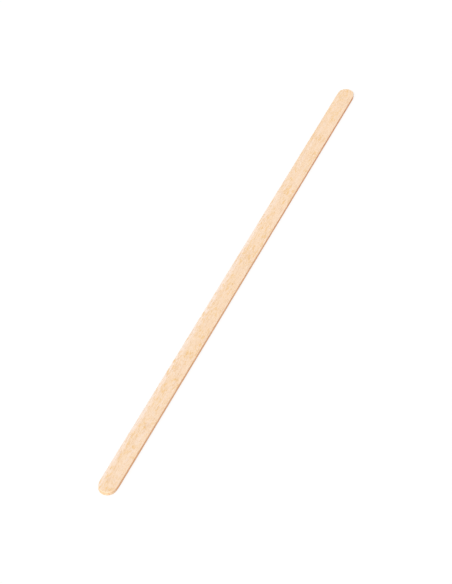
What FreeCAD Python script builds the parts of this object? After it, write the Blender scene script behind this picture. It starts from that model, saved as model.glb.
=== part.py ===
"""Slim wooden spatula: a flat birch stick with rounded ends.

The real one is a single piece. A strip of rotary-cut veneer is dried, the outline is
punched out of it, and the sticks are tumbled, which takes the sharpness off every edge
of the two broad faces. So it is one solid: an outline of two straight sides and two
ends of three arcs each, given its thickness, with the same small round run all the way
around both faces.

Frame: +X along the stick, +Y across it, +Z up out of the broad face. The origin is the
middle of the underside, where the stick lies on a table. Millimetres throughout.
"""

import FreeCAD, Part
import math
import os
from FreeCAD import Vector

# Driving dimensions, each set by itself.
LENGTH = 178.0      # from tip to tip, over both round ends
WIDTH = 5.0         # across the straight part, from edge to edge
THICKNESS = 1.3     # of the veneer, from face to face

# The ends are a little slimmer and longer than a full round across the width. The tip's
# radius falls short of half the width by the ease, and the end's length, from where the
# side stops being straight, passes half the width by the run.
END_EASE = 0.15
END_RUN = 1.1
TIP_RADIUS = WIDTH / 2 - END_EASE
END_LENGTH = WIDTH / 2 + END_RUN

# Tumbling wears a thicker edge rounder, so the radius along the edges of both broad
# faces goes with the thickness. At this share, two thirds of the wall stay flat.
EDGE_ROUND_SHARE = 0.16
EDGE_ROUND = EDGE_ROUND_SHARE * THICKNESS


def shoulder():
    """Radius and turn of the long arc between a straight side and the tip's arc.

    The arc's centre is level with the start of the end, one radius in from the side. It
    meets the tip's arc smoothly where the two centres are as far apart as the radii
    differ: forward^2 + (radius - WIDTH / 2)^2 = (radius - TIP_RADIUS)^2, where forward is
    the tip's centre ahead of the start of the end.
    """
    forward = END_LENGTH - TIP_RADIUS
    half_width = WIDTH / 2
    radius = (forward ** 2 + half_width ** 2 - TIP_RADIUS ** 2) / (2 * END_EASE)
    return radius, math.atan2(forward, radius - half_width)


def end_and_side(side):
    """One end and the straight side that follows it: side is 1 at +X and -1 at -X.

    Seen from above, the edges run counter-clockwise. The other end and side are these
    given half a turn about the origin.
    """
    radius, turn = shoulder()
    start_x = LENGTH / 2 - END_LENGTH

    def outline_point(x, y):
        return Vector(side * x, side * y, 0)

    def shoulder_point(turned, across):
        """The point that far round the shoulder, on the back for 1 and the front for -1."""
        x = start_x + radius * math.sin(turned)
        y = WIDTH / 2 - radius + radius * math.cos(turned)
        return outline_point(x, across * y)

    front = [shoulder_point(turned, -1) for turned in (0, turn / 2, turn)]
    back = [shoulder_point(turned, 1) for turned in (turn, turn / 2, 0)]
    tip = outline_point(LENGTH / 2, 0)
    next_start = outline_point(-start_x, WIDTH / 2)
    return [
        Part.Arc(*front).toShape(),
        Part.Arc(front[-1], tip, back[0]).toShape(),
        Part.Arc(*back).toShape(),
        Part.LineSegment(back[-1], next_start).toShape(),
    ]


def looks_up_or_down(face):
    """Whether a face looks more along Z than along X and Y together."""
    normal = face.normalAt(0, 0)
    return abs(normal.z) > abs(normal.x) + abs(normal.y)


def broad_face_edges(solid):
    """Every edge of the underside and of the upper face."""
    return [edge for face in solid.Faces if looks_up_or_down(face) for edge in face.Edges]


def punched_stick():
    """The stick as the punch leaves it: the outline with square edges, at full thickness."""
    outline = Part.Wire(end_and_side(1) + end_and_side(-1))
    return Part.Face(outline).extrude(Vector(0, 0, THICKNESS))


def tumbled_stick():
    """The finished stick: the punched one with the edges of both broad faces rounded over."""
    punched = punched_stick()
    return punched.makeFillet(EDGE_ROUND, broad_face_edges(punched))


def write_part(name, shape):
    """Checks that the shape is one closed solid and writes it under its node's name."""
    solids = shape.Solids
    if len(solids) != 1 or not shape.isValid() or shape.Volume <= 0:
        raise ValueError(f"{name} is not one valid solid")
    os.makedirs("parts", exist_ok=True)
    solids[0].exportStep(os.path.join("parts", f"{name}.step"))
    box = shape.optimalBoundingBox()
    print(
        f"{name}: {box.XLength:.2f} x {box.YLength:.2f} x {box.ZLength:.2f} mm,"
        f" {shape.Volume:.1f} mm3, {len(shape.Faces)} faces"
    )


write_part("stick", tumbled_stick())
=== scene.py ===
import math

import bpy
import numpy as np
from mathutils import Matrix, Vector


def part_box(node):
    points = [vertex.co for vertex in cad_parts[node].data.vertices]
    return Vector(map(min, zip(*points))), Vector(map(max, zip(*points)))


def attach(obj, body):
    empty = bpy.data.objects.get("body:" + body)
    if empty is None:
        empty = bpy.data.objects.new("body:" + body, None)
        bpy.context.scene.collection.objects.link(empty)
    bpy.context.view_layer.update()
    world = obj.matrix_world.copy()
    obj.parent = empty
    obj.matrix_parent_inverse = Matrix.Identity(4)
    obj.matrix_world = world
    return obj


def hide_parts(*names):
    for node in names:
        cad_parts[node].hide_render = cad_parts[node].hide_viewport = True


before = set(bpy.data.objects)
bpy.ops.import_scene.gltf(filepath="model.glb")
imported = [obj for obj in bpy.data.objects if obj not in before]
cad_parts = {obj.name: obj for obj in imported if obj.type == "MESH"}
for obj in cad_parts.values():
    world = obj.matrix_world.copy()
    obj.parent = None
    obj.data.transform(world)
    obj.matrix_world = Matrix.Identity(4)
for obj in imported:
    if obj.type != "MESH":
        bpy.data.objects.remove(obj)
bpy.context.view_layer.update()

# The one piece is a flat birch stick. Its mesh is worked out here in millimetres from the
# box of its node, with the fine relief that punching and tumbling leave, and is then put
# in metres where the node lies: +X along the stick, +Y across it, +Z up.
METRE = 0.001
low_corner, high_corner = (np.array(corner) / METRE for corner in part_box("stick"))
LENGTH, WIDTH, THICKNESS = high_corner - low_corner
HALF_WIDTH = WIDTH / 2
EDGE_ROUND_SHARE = 0.16
EDGE_ROUND = EDGE_ROUND_SHARE * THICKNESS

# Each end is a tip's arc between two long shoulders, and is a little slimmer and longer
# than a full round across the width: the tip's radius falls short of half the width by
# the ease, and the end's length passes it by the run. The shoulder meets the side and the
# tip smoothly where (shoulder - tip)^2 = forward^2 + (shoulder - half width)^2, with
# forward the distance from the end's start to the tip's centre.
END_EASE = 0.15
END_RUN = 1.1
TIP_RADIUS = HALF_WIDTH - END_EASE
END_LENGTH = HALF_WIDTH + END_RUN
STRAIGHT_HALF = LENGTH / 2 - END_LENGTH
FORWARD = END_LENGTH - TIP_RADIUS
SHOULDER_RADIUS = (FORWARD ** 2 + HALF_WIDTH ** 2 - TIP_RADIUS ** 2) / (2 * END_EASE)
SHOULDER_TURN = math.atan2(FORWARD, SHOULDER_RADIUS - HALF_WIDTH)

# Lengths along the outline, from the middle of a long side to where the tip's arc begins
# and to the very tip.
SIDE_REACH = STRAIGHT_HALF + SHOULDER_RADIUS * SHOULDER_TURN
REACH = SIDE_REACH + TIP_RADIUS * (math.pi / 2 - SHOULDER_TURN)

# How finely the grid is drawn: steps along each side with its shoulders and round each
# tip, and steps across half a broad face, round an edge and down the wall.
SIDE_STEPS = 496
TIP_STEPS = 52
FACE_STEPS = 26
ROUND_STEPS = 5
WALL_STEPS = 5

# Depths of the relief, in millimetres. All of it goes into the wood, never out of it.
OUTLINE_WANDER = 0.006      # slow waviness of the punched outline
OUTLINE_TREMBLE = 0.003     # quick waviness of the punched outline
ROUND_WANDER = 0.25         # share by which the tumbled round varies
RAISED_GRAIN = 0.010        # long ridges between the fibres
LATHE_CHATTER = 0.006       # low hills left by the knife that peeled the veneer
PORE_DEPTH = 0.030          # open pores, short grooves along the grain
SIDE_FIBRES = 0.010         # lines along the two long walls
END_FIBRES = 0.015          # upright lines where the punch crossed the grain

# The hills that each kind of relief is made of: the seed of their heights, and one hill's
# size in millimetres along its two coordinates, which are x and y on the faces, x and
# height on the long walls, and the run and height on the ends' walls.
WANDER_HILLS = (21, 11, 11)
TREMBLE_HILLS = (22, 1.3, 1.3)
ROUND_HILLS = (23, 5, 5)
GRAIN_HILLS = (11, 26, 0.42)
CHATTER_HILLS = (12, 2.8, 2.2)
PORE_HILLS = (13, 2.3, 0.21)
SIDE_HILLS = (14, 1.9, 0.21)
END_HILLS = (15, 0.24, 1.6)

# The underside, the front wall and the right end take their hills from far away, counted
# in hills for the first two and in millimetres for the last, so that none is a repeat.
UNDERSIDE_AWAY = 400.0
FRONT_AWAY = 300.0
RIGHT_END_AWAY = 100.0

PORE_LIMITS = (0.45, 0.75)  # heights of a hill at which a pore starts and is full
END_GRAIN = (3.1, 0.4)      # distances from the tip at which it starts and is full
TEAR_ABOVE = 0.6            # how much the punch tears the wood at the upper face
TEAR_ADDED = 0.8            # how much more it tears it by the underside
WALL_LIMITS = (0.45, 1)     # shares of wall at which the cut colour starts and is full
CUT_COLOUR = (0.7, 0.3)     # share of a long wall's colour, and what tearing adds to it


def eased(value, low, high):
    """0 at low and 1 at high, level beyond them, and between them t * t * (3 - 2 * t), with
    t the share of the way from low to high. Low may be the larger of the two."""
    share = np.clip((value - low) / (high - low), 0, 1)
    return share * share * (3 - 2 * share)


def hills(kind, first, second, first_away=0.0, second_away=0.0):
    """Smooth random hills from -1 to 1 over two coordinates in millimetres.

    Every corner of a grid of cells of the kind's size has a random height. Between the
    four corners round a point the heights are blended with the eased share of the way
    from one to the next. The hills are taken from a place that many cells away.
    """
    seed, first_size, second_size = kind
    first = first / first_size + first_away
    second = second / second_size + second_away
    cells = 1024
    heights = np.random.default_rng(seed).uniform(-1, 1, (cells, cells))
    row, column = np.floor(first).astype(int), np.floor(second).astype(int)
    down, right = eased(first - row, 0, 1), eased(second - column, 0, 1)
    row, column = row % cells, column % cells
    next_row, next_column = (row + 1) % cells, (column + 1) % cells
    near = heights[row, column] * (1 - right) + heights[row, next_column] * right
    far = heights[next_row, column] * (1 - right) + heights[next_row, next_column] * right
    return near * (1 - down) + far * down


def stations():
    """The stations round the outline, counter-clockwise as seen from above.

    A station looks square out through the outline from a point of the middle line. It
    has four facts: that point's x, the angle that it looks along, its distance from the
    outline, and its run, which is the distance along the outline from the middle of a
    long side. Past the end of the straight part, the angle turns by the run past it
    divided by the shoulder's radius. All stations of a tip look from its centre.
    """
    run = np.linspace(SIDE_REACH, -SIDE_REACH, SIDE_STEPS + 1)
    straight = np.clip(run, -STRAIGHT_HALF, STRAIGHT_HALF)
    turned = (run - straight) / SHOULDER_RADIUS
    beyond = SHOULDER_RADIUS - HALF_WIDTH
    back_side = np.array([
        straight + beyond * np.tan(turned),
        math.pi / 2 - turned,
        SHOULDER_RADIUS - beyond / np.cos(turned),
        run,
    ])
    half_tip = math.pi / 2 - SHOULDER_TURN
    from_tip = np.linspace(-half_tip, half_tip, TIP_STEPS + 1)[1:-1]
    one = np.ones(TIP_STEPS - 1)
    left_tip = np.array([
        -one * (STRAIGHT_HALF + FORWARD),
        math.pi + from_tip,
        one * TIP_RADIUS,
        TIP_RADIUS * np.abs(from_tip) - REACH,
    ])

    # The front side and the right tip are these, half a turn round.
    first = np.concatenate([back_side, left_tip], axis=1)
    second = first * [[-1], [1], [1], [-1]] + [[0], [math.pi], [0], [0]]
    return np.concatenate([first, second], axis=1)


def section():
    """The stick's half section, from the middle of the upper face round to the underside.

    Each step has its inset from the outline, as shares of the distance to the middle line
    and of the edge round; its height, as shares of the thickness and of the edge round;
    and the tilt of its surface from level, which is 0 on the upper face and pi on the
    underside.
    """
    face = np.linspace(0, 1, FACE_STEPS + 1)[:-1]
    quarter = np.linspace(0, math.pi / 2, ROUND_STEPS + 1)
    wall = np.linspace(0, 1, WALL_STEPS + 1)[1:-1]
    none_face, none_wall = np.zeros(FACE_STEPS), np.zeros(WALL_STEPS - 1)
    none_round = np.zeros(ROUND_STEPS + 1)
    upper = np.array([1 - face, face, none_face + 1, none_face, none_face])
    upper_round = np.array([
        none_round, 1 - np.sin(quarter), none_round + 1, np.cos(quarter) - 1, quarter])
    side = np.array([
        none_wall, none_wall, 1 - wall, 2 * wall - 1, none_wall + math.pi / 2])
    lower_turn = quarter + math.pi / 2
    lower_round = np.array([
        none_round, 1 - np.sin(lower_turn), none_round, 1 + np.cos(lower_turn), lower_turn])
    lower = np.array([1 - face, face, none_face, none_face, none_face + math.pi])[:, ::-1]
    return np.concatenate([upper, upper_round, side, lower_round, lower], axis=1)


def relief(x, y, z, run, tilt):
    """Depth of the surface below the smooth stick, in millimetres.

    On the faces: long ridges, low hills, and pores where narrow hills rise past a limit.
    On the walls: lines along the sides, which give way to upright lines on the ends, both
    deeper towards the underside, where the punch tears the wood more than it cuts it.
    The tilt shares the two out. With the depth come four shares for the material: how
    much the surface is a long wall and how much an end's wall, how much the edge is worn
    and given a painted highlight, and how open the pore is.
    """
    face_away = np.where(tilt < math.pi / 2, 0.0, UNDERSIDE_AWAY)
    ridges = 1 + hills(GRAIN_HILLS, x, y, second_away=face_away)
    chatter = 1 + hills(CHATTER_HILLS, x, y, second_away=face_away)
    pore = eased(hills(PORE_HILLS, x, y, second_away=face_away), *PORE_LIMITS)
    on_face = RAISED_GRAIN * ridges + LATHE_CHATTER * chatter + PORE_DEPTH * pore

    side_away = np.where(y > 0, 0.0, FRONT_AWAY)
    side_lines = 1 + hills(SIDE_HILLS, x, z, first_away=side_away)
    from_tip = (REACH - np.abs(run)) * np.sign(y) + np.where(x > 0, RIGHT_END_AWAY, 0.0)
    end_lines = 1 + hills(END_HILLS, from_tip, z)
    on_end = eased(LENGTH / 2 - np.abs(x), *END_GRAIN)
    torn = TEAR_ABOVE + TEAR_ADDED * (1 - z / THICKNESS)
    on_wall = torn * (SIDE_FIBRES * side_lines * (1 - on_end) + END_FIBRES * end_lines * on_end)

    wall_share = np.sin(tilt) ** 2
    face_share = 1 - wall_share
    looks_cut = eased(wall_share, *WALL_LIMITS)
    least_cut, cut_by_tearing = CUT_COLOUR
    facts = {
        "cut": looks_cut * (1 - on_end) * (least_cut + cut_by_tearing * torn),
        "end": looks_cut * on_end,
        # Rounded edges: partly worn paler, partly a painted highlight line.
        "wear_and_sheen": 4 * wall_share * face_share,
        "pore": pore * face_share,
    }
    return on_face * face_share + on_wall * wall_share, facts


def punched_stick():
    """The stick's points in millimetres, the same before the relief, each point's run,
    the faces with four and with three corners, and what each point's material needs.

    At outward angle a, distance d from the middle line to the outline, inset i from the
    outline and height h, a point is at
    x = middle + (d - i) * cos(a), y = (d - i) * sin(a), z = h.
    It is then moved into the wood by the relief, along the smooth surface's normal.
    The innermost points of the two sides are the same points, and those of a tip are one
    point, so both broad faces close along the middle line.
    """
    middle_x, angle, radius, run = stations()
    inset_by_radius, inset_by_round, height_by_stick, height_by_round, tilt = section()
    columns, rows = len(angle), len(tilt)

    outline_x = middle_x + radius * np.cos(angle)
    outline_y = radius * np.sin(angle)
    wander = 1 + hills(WANDER_HILLS, outline_x, outline_y)
    tremble = 1 + hills(TREMBLE_HILLS, outline_x, outline_y)
    drawn_in = OUTLINE_WANDER * wander + OUTLINE_TREMBLE * tremble
    edge_round = EDGE_ROUND * (1 + ROUND_WANDER * hills(ROUND_HILLS, outline_x, outline_y))

    inset = np.outer(radius, inset_by_radius) + np.outer(edge_round, inset_by_round)
    reach = radius[:, None] - inset
    reach = reach - drawn_in[:, None] * (reach / radius[:, None]) ** 2
    z = height_by_stick * THICKNESS + np.outer(edge_round, height_by_round)
    x = middle_x[:, None] + reach * np.cos(angle)[:, None]
    y = reach * np.sin(angle)[:, None]
    tilt = np.broadcast_to(tilt, x.shape)
    run = np.outer(run, np.ones(rows))
    depth, facts = relief(x, y, z, run, tilt)
    smooth = np.stack([x, y, z], -1)
    outward = np.stack([
        np.sin(tilt) * np.cos(angle)[:, None],
        np.sin(tilt) * np.sin(angle)[:, None],
        np.cos(tilt),
    ], -1)
    shaped = smooth - depth[..., None] * outward

    # Numbers of the points: the innermost ones stand for those that coincide with them.
    number = np.arange(columns * rows).reshape(columns, rows)
    first_side = np.arange(SIDE_STEPS + 1)
    second_side = SIDE_STEPS + TIP_STEPS + first_side
    for middle in (0, rows - 1):
        number[second_side, middle] = number[first_side[::-1], middle]
        number[SIDE_STEPS + 1:SIDE_STEPS + TIP_STEPS, middle] = number[SIDE_STEPS, middle]
        number[second_side[-1] + 1:, middle] = number[0, middle]
    onward = np.roll(number, -1, axis=0)
    corners = np.stack([
        number[:, :-1], number[:, 1:], onward[:, 1:], onward[:, :-1]], -1).reshape(-1, 4)
    kept, renumbered = np.unique(corners, return_inverse=True)
    corners = renumbered.reshape(-1, 4)
    folded = corners[:, 0] == corners[:, 3]
    folded_low = corners[:, 1] == corners[:, 2]
    whole = corners[~folded & ~folded_low]
    fans = np.concatenate([corners[folded][:, :3], corners[folded_low][:, [0, 1, 3]]])
    facts = {name: value.ravel()[kept] for name, value in facts.items()}
    shaped, smooth = shaped.reshape(-1, 3)[kept], smooth.reshape(-1, 3)[kept]
    return shaped, smooth, run.ravel()[kept], whole, fans, facts


def lay_out_in_rows(mesh, smooth, run):
    """A UV map with the long stick cut across into three and the pieces laid in rows.

    A broad face is laid flat by its x and y, and a wall by its run along the outline and
    its height. Each row holds the upper face, the underside and the two walls of one
    stretch of the stick, so a square picture holds the grain finely and evenly.
    """
    stretches = 3
    gap = 0.35
    shortest = 1e-12
    steep = math.sqrt(0.5)      # the cosine of 45 degrees, past which a face is a wall
    corner_point = np.empty(len(mesh.loops), int)
    mesh.loops.foreach_get("vertex_index", corner_point)
    corner_count = np.empty(len(mesh.polygons), int)
    mesh.polygons.foreach_get("loop_total", corner_count)
    face_start = np.concatenate([[0], np.cumsum(corner_count)[:-1]])
    place = smooth[corner_point]
    centre = np.add.reduceat(place, face_start) / corner_count[:, None]
    second, third = place[(face_start + 1)], place[(face_start + 2)]
    normal = np.cross(second - place[face_start], third - second)
    normal /= np.maximum(np.linalg.norm(normal, axis=1, keepdims=True), shortest)

    stretch_length = 2 * REACH / stretches

    def to_corners(per_face):
        return np.repeat(per_face, corner_count)

    faces_up = to_corners(normal[:, 2] > steep)
    faces_down = to_corners(normal[:, 2] < -steep)
    back_wall = to_corners(centre[:, 1] > 0)
    stretch = to_corners(np.clip(
        np.floor((centre[:, 0] + REACH) / stretch_length), 0, stretches - 1))
    on_wall = ~(faces_up | faces_down)
    along = np.where(on_wall, run[corner_point], place[:, 0])
    face_height = WIDTH + gap
    wall_height = THICKNESS + gap
    row_height = 2 * face_height + 2 * wall_height
    across = np.select(
        [faces_up, faces_down, back_wall],
        [HALF_WIDTH + place[:, 1], face_height + HALF_WIDTH - place[:, 1],
         2 * face_height + place[:, 2]],
        2 * face_height + wall_height + place[:, 2],
    )
    margin = gap / 2
    u = (along + REACH - stretch * stretch_length + margin) / (stretch_length + 2 * margin)
    v = (stretch * row_height + across + margin) / (stretches * row_height)
    uv_map = mesh.uv_layers.new(name="OFBake")
    uv_map.uv.foreach_set("vector", np.stack([u, v], -1).astype(np.float32).ravel())


def make_stick():
    """The stick as one closed mesh object, smooth-shaded, with its map and attributes."""
    points, smooth, run, whole, fans, facts = punched_stick()
    centre = (low_corner + high_corner) / 2 * [1, 1, 0] + low_corner * [0, 0, 1]
    mesh = bpy.data.meshes.new("birch_stick")
    mesh.from_pydata((points + centre) * METRE, [], whole.tolist() + fans.tolist())
    mesh.polygons.foreach_set("use_smooth", np.ones(len(mesh.polygons), bool))
    for name, value in facts.items():
        attribute = mesh.attributes.new(name, "FLOAT", "POINT")
        attribute.data.foreach_set("value", value.astype(np.float32))
    lay_out_in_rows(mesh, smooth, run)
    mesh.validate()
    mesh.update()
    stick = bpy.data.objects.new("birch_stick", mesh)
    bpy.context.collection.objects.link(stick)
    return stick


def linear(sheet_hex):
    """Red, green, blue and alpha 1 as the renderer needs them, from an sRGB hex value."""
    parts = [int(sheet_hex[i:i + 2], 16) / 255 for i in (1, 3, 5)]
    return [p / 12.92 if p <= 0.04045 else ((p + 0.055) / 1.055) ** 2.4 for p in parts] + [1.0]


def add_node(tree, kind, inputs=(), **settings):
    """Adds a node, sets its settings, and fills its inputs with values or with sockets."""
    made = tree.nodes.new(kind)
    for name, value in settings.items():
        setattr(made, name, value)
    for name, value in dict(inputs).items():
        if isinstance(value, bpy.types.NodeSocket):
            tree.links.new(value, made.inputs[name])
        else:
            made.inputs[name].default_value = value
    return made


def peeled_birch_veneer():
    """Birch veneer, peeled, punched and tumbled bare.

    Peeling shows broad pale and warm streaks, soft yellowish-brown blotches in clouds a
    few millimetres long, and short fine flecks along the grain. The punched long walls
    are deeper and more orange than the faces. The ends' walls show the same fibres cut
    across, as fine upright lines, and are paler. Tumbling leaves the surface matt, with
    its rounded edges burnished a little paler; a painted highlight makes them paler still,
    and a painted highlight strip lies along the back edge of the upper face.
    """
    material = bpy.data.materials.new("birch_veneer_tumbled")
    material.use_nodes = True
    tree = material.node_tree
    shader = tree.nodes["Principled BSDF"]

    # Coordinates in millimetres, with the grain wandering a little sideways on its way.
    sway_size = (34, 9, 9)
    sway_reach = (0.0, 1.6, 0.8)
    place = add_node(tree, "ShaderNodeTexCoord").outputs["Object"]
    in_mm = add_node(
        tree, "ShaderNodeMapping", {"Vector": place, "Scale": [1 / METRE] * 3},
        vector_type="POINT").outputs["Vector"]
    long_way = add_node(
        tree, "ShaderNodeMapping", {"Vector": in_mm, "Scale": [1 / part for part in sway_size]})
    sway = add_node(
        tree, "ShaderNodeTexNoise",
        {"Vector": long_way.outputs["Vector"], "Scale": 1.0, "Detail": 1.0})
    grain_place = add_node(
        tree, "ShaderNodeVectorMath",
        {0: sway.outputs["Color"], 1: sway_reach, 2: in_mm},
        operation="MULTIPLY_ADD").outputs["Vector"]

    # Each pattern's size along, across and through the wood in millimetres, its detail,
    # and the two noise levels between which it rises from nothing to full. Birch fibres
    # and vessels are 0.02 to 0.1 mm wide, and here they are about twice as coarse, which
    # is the finest that shows.
    patterns = {
        "pale_streak": ((70, 1.6, 1.2), 1, 0.46, 0.66),
        "warm_streak": ((50, 1.2, 1.0), 1, 0.48, 0.70),
        "cloud": ((6.5, 2.6, 2.0), 1, 0.38, 0.62),
        "blotch": ((1.7, 0.72, 0.8), 2, 0.44, 0.66),
        "fleck": ((0.70, 0.32, 0.32), 1, 0.50, 0.70),
        "pale_fleck": ((0.70, 0.32, 0.32), 1, 0.52, 0.70),
        "fibre": ((3.5, 0.10, 0.10), 2, 0.36, 0.64),
        "vessel": ((1.7, 0.085, 0.09), 1, 0.62, 0.74),
        "upright": ((0.13, 0.13, 1.1), 2, 0.38, 0.62),
    }
    apart = 17.0                # how far each pattern's place is from the one before
    level = {}
    for name, (size, detail, low, high) in patterns.items():
        scaled = add_node(
            tree, "ShaderNodeMapping",
            {"Vector": grain_place, "Location": (apart * len(level), 0, 0),
             "Scale": [1 / part for part in size]})
        noise = add_node(
            tree, "ShaderNodeTexNoise",
            {"Vector": scaled.outputs["Vector"], "Scale": 1.0, "Detail": detail})
        level[name] = add_node(
            tree, "ShaderNodeMapRange",
            {"Value": noise.outputs["Fac"], "From Min": low, "From Max": high},
            interpolation_type="SMOOTHSTEP").outputs["Result"]

    def times(first, second):
        return add_node(
            tree, "ShaderNodeMath", {0: first, 1: second}, operation="MULTIPLY").outputs[0]

    def in_fibres(share):
        """A share broken up into fibres, with about the same mean as before."""
        between, on_fibre = 0.2, 1.5
        broken = add_node(
            tree, "ShaderNodeMath", {0: level["fibre"], 1: on_fibre, 2: between},
            operation="MULTIPLY_ADD").outputs[0]
        return times(share, broken)

    def rising(coordinate, start, full, most=1.0):
        """A share that rises smoothly from 0 at the start to its most where it is full."""
        return add_node(
            tree, "ShaderNodeMapRange",
            {"Value": coordinate, "From Min": start, "From Max": full, "To Max": most},
            interpolation_type="SMOOTHSTEP").outputs["Result"]

    def layered(under, over, share):
        """The colour over, laid on the colour under by a share."""
        return add_node(
            tree, "ShaderNodeMix", {0: share, 6: under, 7: over},
            data_type="RGBA").outputs[2]

    cut, end, wear_and_sheen, pore = (
        add_node(tree, "ShaderNodeAttribute", attribute_name=name).outputs["Fac"]
        for name in ("cut", "end", "wear_and_sheen", "pore"))
    split = add_node(tree, "ShaderNodeSeparateXYZ", {0: in_mm})
    along, across = split.outputs["X"], split.outputs["Y"]

    # The paler strip along the back edge is a painted highlight on the lit side, and fades
    # out past the stick's middle. The cut wood of the long walls gets deeper from about there
    # to the far end.
    lit_edge_highlight = times(rising(across, 0.9, 2.1), rising(along, 60.0, 10.0))
    deeper = rising(along, -10.0, 80.0, most=0.6)

    # From the ground colour up, each layer is a colour and the share that it is laid on by.
    blotch = times(times(level["blotch"], level["cloud"]), 0.92)
    colour = layered(linear("#F8DBBD"), linear("#F9E1CC"), times(level["pale_streak"], 0.6))
    colour = layered(colour, linear("#F6D4B0"), times(level["warm_streak"], 0.5))
    # Painted highlight: the back edge of the upper face laid paler, where it would catch the
    # light.
    colour = layered(colour, linear("#FDE9DA"), lit_edge_highlight)
    colour = layered(colour, linear("#F1C687"), in_fibres(blotch))
    colour = layered(colour, linear("#ECC38F"), in_fibres(times(level["fleck"], 0.48)))
    colour = layered(colour, linear("#FDEAD9"), times(level["pale_fleck"], 0.46))
    colour = layered(colour, linear("#F0CCA2"), times(level["fibre"], 0.14))
    colour = layered(colour, linear("#CF9A61"), times(level["vessel"], 0.34))
    colour = layered(colour, linear("#D9A877"), times(pore, 0.22))
    # Painted highlight on the rounded edges, on top of their burnished wear.
    colour = layered(colour, linear("#FBE5CE"), times(wear_and_sheen, 0.5))
    wall = layered(linear("#F7BF8B"), linear("#E8A771"), level["fibre"])
    wall = layered(wall, linear("#E2945A"), in_fibres(deeper))
    colour = layered(colour, wall, cut)
    end_wall = layered(linear("#F9DAB6"), linear("#EDC091"), level["upright"])
    colour = layered(colour, end_wall, end)
    tree.links.new(colour, shader.inputs["Base Color"])

    # Tumbled fibres shine a little less than the wood between them. They stand up by about
    # a hundredth of a millimetre, and the open vessels lie half as much again below it.
    between_rough, fibre_rough = 0.56, 0.68
    fibre_height = 0.012
    vessel_depth = 1.5
    roughness = add_node(
        tree, "ShaderNodeMapRange",
        {"Value": level["fibre"], "To Min": between_rough, "To Max": fibre_rough})
    tree.links.new(roughness.outputs["Result"], shader.inputs["Roughness"])
    grain_height = add_node(
        tree, "ShaderNodeMath",
        {0: level["vessel"], 1: -vessel_depth, 2: level["fibre"]}, operation="MULTIPLY_ADD")
    bump = add_node(
        tree, "ShaderNodeBump",
        {"Height": grain_height.outputs[0], "Strength": 0.5, "Distance": fibre_height * METRE})
    tree.links.new(bump.outputs["Normal"], shader.inputs["Normal"])
    shader.inputs["IOR"].default_value = 1.5
    return material


def white_floor():
    """A matt white sheet. The camera sees most of it as plain white, so that it meets the
    white background without an edge, and the rest as lit, which keeps a faint shadow."""
    plain_share, plain_brightness = 0.78, 1.02
    paper_white = 0.84          # what the sheet throws back on the stick
    half = 4.0                  # half the sheet's width, in metres
    material = bpy.data.materials.new("white_paper_sheet")
    material.use_nodes = True
    tree = material.node_tree
    seen = add_node(tree, "ShaderNodeLightPath").outputs["Is Camera Ray"]
    colour = add_node(
        tree, "ShaderNodeMix", {0: seen, 6: [paper_white] * 3 + [1], 7: (1, 1, 1, 1)},
        data_type="RGBA")
    paper = tree.nodes["Principled BSDF"]
    tree.links.new(colour.outputs[2], paper.inputs["Base Color"])
    paper.inputs["Roughness"].default_value = 1.0
    paper.inputs["Specular IOR Level"].default_value = 0.0
    share = add_node(tree, "ShaderNodeMath", {0: seen, 1: plain_share}, operation="MULTIPLY")
    plain = add_node(tree, "ShaderNodeEmission", {"Strength": plain_brightness})
    both = add_node(
        tree, "ShaderNodeMixShader",
        {0: share.outputs[0], 1: paper.outputs["BSDF"], 2: plain.outputs["Emission"]})
    tree.links.new(
        both.outputs["Shader"], tree.nodes["Material Output"].inputs["Surface"])
    mesh = bpy.data.meshes.new("floor")
    mesh.from_pydata(
        [(-half, -half, 0), (half, -half, 0), (half, half, 0), (-half, half, 0)], [],
        [(0, 1, 2, 3)])
    mesh.materials.append(material)
    floor = bpy.data.objects.new("floor", mesh)
    bpy.context.collection.objects.link(floor)


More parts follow.
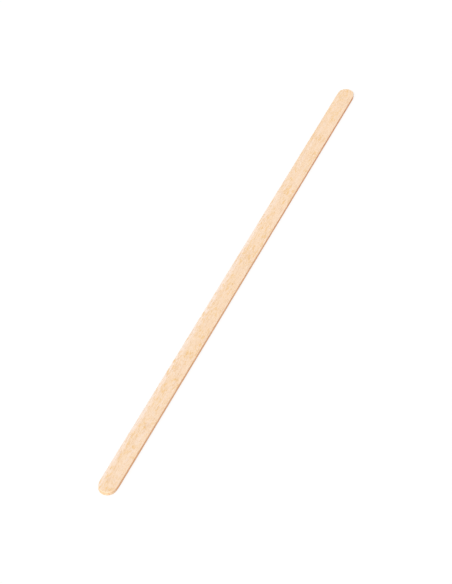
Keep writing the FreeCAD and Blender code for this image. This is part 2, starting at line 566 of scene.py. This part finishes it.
def studio_light():
    """An even white world, and one broad soft light from off the near end of the stick.

    Together they light a level surface by about 1, so a colour renders about as it is
    written. The light shines along the stick, so the long front wall stays in shade.
    """
    world_share, sun_share = 0.62, 0.415        # of the brightness of a level surface
    spread = math.radians(34)
    world = bpy.data.worlds.new("white_studio")
    bpy.context.scene.world = world
    world.use_nodes = True
    tree = world.node_tree
    path = add_node(tree, "ShaderNodeLightPath")
    seen = path.outputs["Is Camera Ray"]
    for ray in ("Is Glossy Ray", "Is Transmission Ray"):
        seen = add_node(
            tree, "ShaderNodeMath", {0: seen, 1: path.outputs[ray]},
            operation="MAXIMUM").outputs[0]
    strength = add_node(
        tree, "ShaderNodeMapRange", {"Value": seen, "To Min": world_share, "To Max": 1.0})
    background = tree.nodes["Background"]
    background.inputs["Color"].default_value = (1, 1, 1, 1)
    tree.links.new(strength.outputs["Result"], background.inputs["Strength"])

    # A sun lights a level white surface by its strength times the cosine of its angle from
    # straight above, divided by pi.
    towards = Vector((-0.74, 0.08, 0.66)).normalized()
    light = bpy.data.lights.new("soft_light", "SUN")
    light.angle = spread
    light.energy = sun_share * math.pi / towards.z
    lamp = bpy.data.objects.new("soft_light", light)
    lamp.rotation_euler = towards.to_track_quat("Z", "Y").to_euler()
    bpy.context.collection.objects.link(lamp)


def place_camera():
    """A long lens at the photograph's angle: 42.7 degrees above the table, turned 67.9
    degrees round the stick from its front towards its near end, 514 mm from its middle,
    and aimed a little nearer than the middle, which frames the stick without any shift."""
    picture_height = 584        # pixels, the picture's longer side
    sensor_side = 36.0          # millimetres, of the sensor's side that lies along it
    elevation, turn = math.radians(42.6522), math.radians(-67.9044)
    distance = 513.6331 * METRE
    focal_pixels = 1833.8325
    aimed_at = Vector((-10.8958, -0.2112, THICKNESS)) * METRE
    towards = Vector((
        math.cos(elevation) * math.sin(turn),
        -math.cos(elevation) * math.cos(turn),
        math.sin(elevation),
    ))
    camera_data = bpy.data.cameras.new("camera")
    camera_data.sensor_width = sensor_side
    camera_data.lens = focal_pixels * sensor_side / picture_height
    camera_data.clip_start, camera_data.clip_end = 0.01, 20.0
    camera = bpy.data.objects.new("camera", camera_data)
    camera.location = Vector((0, 0, THICKNESS * METRE)) + towards * distance
    camera.rotation_euler = (aimed_at - camera.location).to_track_quat("-Z", "Y").to_euler()
    bpy.context.collection.objects.link(camera)
    bpy.context.scene.camera = camera


stick = make_stick()
stick.data.materials.append(peeled_birch_veneer())
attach(stick, "root")
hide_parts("stick")

white_floor()
studio_light()
place_camera()
bpy.context.scene.view_settings.view_transform = "Standard"
